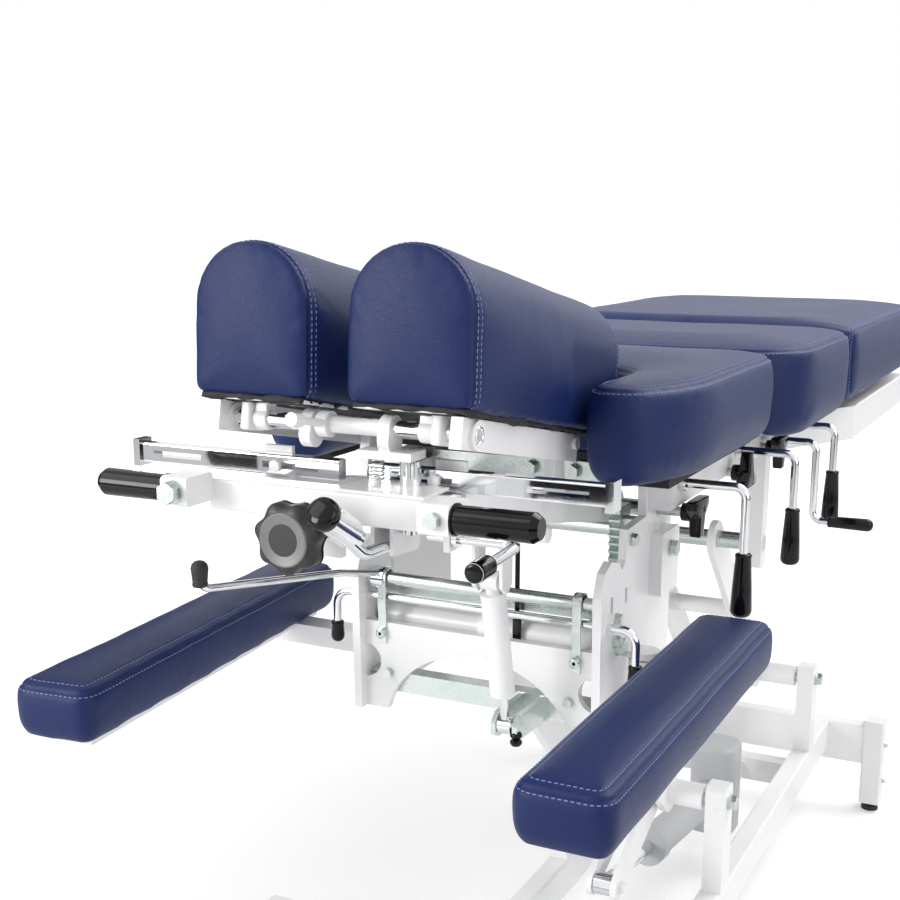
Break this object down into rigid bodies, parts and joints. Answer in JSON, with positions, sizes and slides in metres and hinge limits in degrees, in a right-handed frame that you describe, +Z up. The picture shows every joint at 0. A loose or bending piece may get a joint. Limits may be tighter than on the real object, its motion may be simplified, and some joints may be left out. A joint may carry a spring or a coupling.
{
  "type": "chiropractic table",
  "caption": "Chiropractic table with navy cushions on a white powder-coated lift frame, tilting head section, armrests and side levers.",
  "frame": {"origin": "middle of the bounding box, on the floor", "axes": "+Z up, +Y along the table from the head end to the foot end, +X to the right seen from the head end"},
  "size_m": [0.7092, 1.8244, 1.0638],
  "materials": {
    "white_paint": "satin",
    "chrome": "polished",
    "zinc": "zinc plated",
    "navy_vinyl": "grained vinyl",
    "black_plastic": "gloss",
    "dark_grey_plastic": "matte",
    "grey_plastic": "matte",
    "black_board": "covered board",
    "rubber": "matte"
  },
  "bodies": {
    "base": {"base_frame": "white_paint", "base_legs": "white_paint", "levelling_feet": "rubber", "pivot_posts": "white_paint", "base_pivot_shafts": "zinc", "base_bolts": "zinc"},
    "lift_front": {"lift_arm_front": "white_paint"},
    "lift_rear": {"lift_arm_rear": "white_paint"},
    "actuator": {"actuator_housing": "grey_plastic", "actuator_motor": "grey_plastic"},
    "actuator_piston": {"actuator_rod": "chrome"},
    "table_frame": {"side_plate_left": "white_paint", "side_plate_right": "white_paint", "arch_plate": "white_paint", "cross_bars": "zinc", "table_ladder": "white_paint", "drop_posts": "white_paint", "frame_pivots": "zinc", "rack_bar": "zinc", "gas_spring_clevis": "zinc", "plate_bolts": "zinc", "armrest_brackets": "white_paint"},
    "release": {"release_bar": "chrome"},
    "knob_head": {"t_knob_head": "black_plastic"},
    "knob_chest": {"t_knob_chest": "black_plastic"},
    "knob_pelvic": {"t_knob_pelvic": "black_plastic"},
    "lever_chest": {"cocking_lever_chest": "chrome"},
    "lever_pelvic": {"cocking_lever_pelvic": "chrome"},
    "lever_leg": {"cocking_lever_leg": "chrome"},
    "crank": {"side_crank": "chrome"},
    "section_chest": {"cushion_chest": "navy_vinyl", "section_plate_chest": "black_board"},
    "section_pelvic": {"cushion_pelvic": "navy_vinyl", "section_plate_pelvic": "black_board"},
    "section_leg": {"cushion_leg": "navy_vinyl", "section_plate_leg": "black_board"},
    "armrest_left": {"armrest_pad_left": "navy_vinyl", "armrest_arm_left": "white_paint"},
    "armrest_right": {"armrest_pad_right": "navy_vinyl", "armrest_arm_right": "white_paint"},
    "head_frame": {"head_arms": "white_paint", "front_beam": "white_paint", "beam_grips": "black_plastic", "beam_bolts": "zinc"},
    "knob_star": {"star_knob": "dark_grey_plastic"},
    "lever_centre": {"centre_lever": "chrome"},
    "lever_left": {"left_lever": "chrome"},
    "lever_right": {"right_lever": "chrome"},
    "post": {"guide_post": "chrome", "drop_spring": "zinc"},
    "rail_left": {"slotted_rail_left": "chrome"},
    "rail_right": {"slotted_rail_right": "chrome"},
    "carriage": {"carriage_frame": "white_paint"},
    "headrest_left": {"head_cushion_left": "navy_vinyl", "head_slide_left": "white_paint"},
    "headrest_right": {"head_cushion_right": "navy_vinyl", "head_slide_right": "white_paint"},
    "pin": {"pin_lever": "white_paint"},
    "gas_rod": {"gas_spring_rod": "chrome"},
    "gas_cylinder": {"gas_spring_cylinder": "white_paint"}
  },
  "joints": [
    {"name": "table_lift", "type": "hinge", "parent": "base", "child": "lift_front", "pos_m": [0.01462, -0.14281, 0.295], "axis": [1, 0, 0], "range_deg": [-8, 34.4]},
    {"name": "table_level", "type": "hinge", "parent": "lift_front", "child": "table_frame", "pos_m": [0.01462, -0.45281, 0.603], "axis": [1, 0, 0], "range_deg": [-34.5, 8.1]},
    {"name": "rear_lift", "type": "hinge", "parent": "base", "child": "lift_rear", "pos_m": [0.01462, 0.42419, 0.295], "axis": [1, 0, 0], "range_deg": [-8.1, 34.5]},
    {"name": "actuator_swing", "type": "hinge", "parent": "base", "child": "actuator", "pos_m": [0.11462, 0.35219, 0.12], "axis": [1, 0, 0], "range_deg": [-1.6, 6.89]},
    {"name": "actuator_stroke", "type": "slide", "parent": "actuator", "child": "actuator_piston", "axis": [0, -0.989, 0.1482], "range_m": [-0.0752, 0.0175]},
    {"name": "head_tilt", "type": "hinge", "parent": "table_frame", "child": "head_frame", "pos_m": [0.01462, -0.31281, 0.736], "axis": [1, 0, 0], "range_deg": [-6, 4]},
    {"name": "gas_swing", "type": "hinge", "parent": "table_frame", "child": "gas_rod", "pos_m": [0.08262, -0.55781, 0.527], "axis": [1, 0, 0], "range_deg": [-1.2, 0.8]},
    {"name": "gas_stroke", "type": "slide", "parent": "gas_rod", "child": "gas_cylinder", "axis": [0, -0.2193, 0.9757], "range_m": [-0.0204, 0.0306]},
    {"name": "carriage_drop", "type": "hinge", "parent": "head_frame", "child": "carriage", "pos_m": [0.01462, -0.53881, 0.85], "axis": [1, 0, 0], "range_deg": [0, 4]},
    {"name": "post_travel", "type": "slide", "parent": "head_frame", "child": "post", "axis": [0, 0, 1], "range_m": [-0.0176, 0], "deforming": ["drop_spring"]},
    {"name": "headrest_left_slide", "type": "slide", "parent": "carriage", "child": "headrest_left", "axis": [-1, 0, 0], "range_m": [-0.002, 0.005]},
    {"name": "headrest_right_slide", "type": "slide", "parent": "carriage", "child": "headrest_right", "axis": [1, 0, 0], "range_m": [-0.002, 0.005]},
    {"name": "pin_release", "type": "hinge", "parent": "carriage", "child": "pin", "pos_m": [-0.00538, -0.78282, 0.89295], "axis": [1, 0, 0], "range_deg": [0, 20]},
    {"name": "star_knob_turn", "type": "hinge", "parent": "head_frame", "child": "knob_star", "pos_m": [0.01262, -0.82281, 0.804], "axis": [0, -1, 0], "continuous": true},
    {"name": "centre_lever_swing", "type": "hinge", "parent": "head_frame", "child": "lever_centre", "pos_m": [0.06362, -0.75781, 0.783], "axis": [1, 0, 0], "range_deg": [-10, 4]},
    {"name": "right_lever_swing", "type": "hinge", "parent": "head_frame", "child": "lever_right", "pos_m": [0.16462, -0.78881, 0.798], "axis": [1, 0, 0], "range_deg": [-5, 20]},
    {"name": "rail_left_slide", "type": "slide", "parent": "head_frame", "child": "rail_left", "axis": [-1, 0, 0], "range_m": [-0.01, 0.04]},
    {"name": "rail_right_slide", "type": "slide", "parent": "head_frame", "child": "rail_right", "axis": [1, 0, 0], "range_m": [-0.01, 0.04]},
    {"name": "release_bar_turn", "type": "hinge", "parent": "table_frame", "child": "release", "pos_m": [0.01462, -0.48681, 0.634], "axis": [1, 0, 0], "range_deg": [-30, 10]},
    {"name": "left_lever_swing", "type": "hinge", "parent": "table_frame", "child": "lever_left", "pos_m": [-0.11738, -0.48481, 0.657], "axis": [1, 0, 0], "range_deg": [-5, 15]},
    {"name": "knob_head_turn", "type": "hinge", "parent": "table_frame", "child": "knob_head", "pos_m": [0.21462, -0.31281, 0.736], "axis": [1, 0, 0], "range_deg": [-90, 90]},
    {"name": "knob_chest_turn", "type": "hinge", "parent": "table_frame", "child": "knob_chest", "pos_m": [0.21962, -0.11281, 0.751], "axis": [1, 0, 0], "range_deg": [-90, 90]},
    {"name": "knob_pelvic_turn", "type": "hinge", "parent": "table_frame", "child": "knob_pelvic", "pos_m": [0.21962, 0.07219, 0.757], "axis": [1, 0, 0], "range_deg": [-90, 90]},
    {"name": "lever_chest_swing", "type": "hinge", "parent": "table_frame", "child": "lever_chest", "pos_m": [0.24462, -0.32781, 0.775], "axis": [1, 0, 0], "range_deg": [-4, 45]},
    {"name": "lever_pelvic_swing", "type": "hinge", "parent": "table_frame", "child": "lever_pelvic", "pos_m": [0.24462, -0.07281, 0.775], "axis": [1, 0, 0], "range_deg": [-45, 45]},
    {"name": "lever_leg_swing", "type": "hinge", "parent": "table_frame", "child": "lever_leg", "pos_m": [0.24462, 0.19219, 0.775], "axis": [1, 0, 0], "range_deg": [-4, 45]},
    {"name": "side_crank_swing", "type": "hinge", "parent": "table_frame", "child": "crank", "pos_m": [0.23462, 0.15219, 0.756], "axis": [1, 0, 0], "range_deg": [-80, 3]},
    {"name": "chest_drop", "type": "slide", "parent": "table_frame", "child": "section_chest", "axis": [0, 0, 1], "range_m": [-0.012, 0]},
    {"name": "pelvic_drop", "type": "slide", "parent": "table_frame", "child": "section_pelvic", "axis": [0, 0, 1], "range_m": [-0.012, 0]},
    {"name": "leg_drop", "type": "slide", "parent": "table_frame", "child": "section_leg", "axis": [0, 0, 1], "range_m": [-0.012, 0]},
    {"name": "armrest_left_swing", "type": "hinge", "parent": "table_frame", "child": "armrest_left", "pos_m": [-0.17038, -0.42781, 0.562], "axis": [0, 0, 1], "range_deg": [-25, 4]},
    {"name": "armrest_right_swing", "type": "hinge", "parent": "table_frame", "child": "armrest_right", "pos_m": [0.19962, -0.42781, 0.562], "axis": [0, 0, 1], "range_deg": [-4, 8]}
  ],
  "couplings": [
    {"joint": "table_level", "follows": "table_lift", "ratio": -1},
    {"joint": "rear_lift", "follows": "table_lift", "ratio": 1},
    {"joint": "actuator_swing", "follows": "table_lift", "ratio": 0.19645},
    {"joint": "actuator_stroke", "follows": "table_lift", "m_per_rad": -0.12285},
    {"joint": "gas_swing", "follows": "head_tilt", "ratio": 0.19428},
    {"joint": "gas_stroke", "follows": "head_tilt", "m_per_rad": -0.28406},
    {"joint": "post_travel", "follows": "carriage_drop", "m_per_rad": -0.2445}
  ]
}
